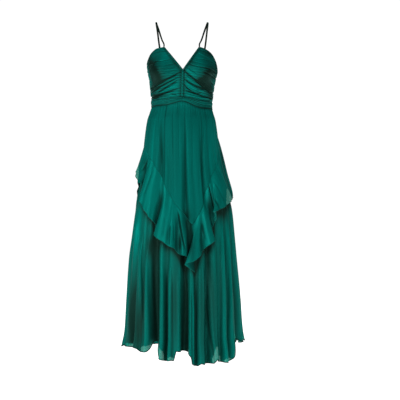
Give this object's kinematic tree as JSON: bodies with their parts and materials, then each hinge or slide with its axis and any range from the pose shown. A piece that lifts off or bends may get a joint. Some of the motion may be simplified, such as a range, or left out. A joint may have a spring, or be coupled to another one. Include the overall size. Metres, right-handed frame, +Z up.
{
  "type": "evening gown",
  "caption": "Floor-length V-neck evening gown with ruched cups, narrow straps, a gathered upper skirt, a pointed flounce and a long full lower tier, filled out as worn.",
  "frame": {"origin": "between the tops of the two shoulder straps, where the wearer's shoulders hold the gown up", "axes": "+Z up along the body, the front towards -Y, the wearer's left side at +X"},
  "size_m": [0.4884, 0.4602, 1.3437],
  "materials": {
    "satin_chiffon": "soft sheen, sheer at single-layer edges",
    "ruched_satin_chiffon": "soft sheen, gathered",
    "strap_satin": "matt",
    "enamelled_metal": "satin enamel"
  },
  "bodies": {
    "root": {"upper_skirt_front": "satin_chiffon", "upper_skirt_back_left": "satin_chiffon", "upper_skirt_back_right": "satin_chiffon", "lower_skirt_front": "satin_chiffon", "lower_skirt_back": "satin_chiffon", "flounce_front_left": "satin_chiffon", "flounce_front_right": "satin_chiffon", "flounce_back_left": "satin_chiffon", "flounce_back_right": "satin_chiffon", "cup_left": "ruched_satin_chiffon", "cup_right": "ruched_satin_chiffon", "centre_gather": "ruched_satin_chiffon", "neck_binding_left": "ruched_satin_chiffon", "neck_binding_right": "ruched_satin_chiffon", "waistband_left": "ruched_satin_chiffon", "waistband_right": "ruched_satin_chiffon", "back_left": "ruched_satin_chiffon", "back_right": "ruched_satin_chiffon", "zip_tape": "ruched_satin_chiffon", "strap_left": "strap_satin", "strap_right": "strap_satin", "zip_slider": "enamelled_metal"}
  },
  "joints": []
}
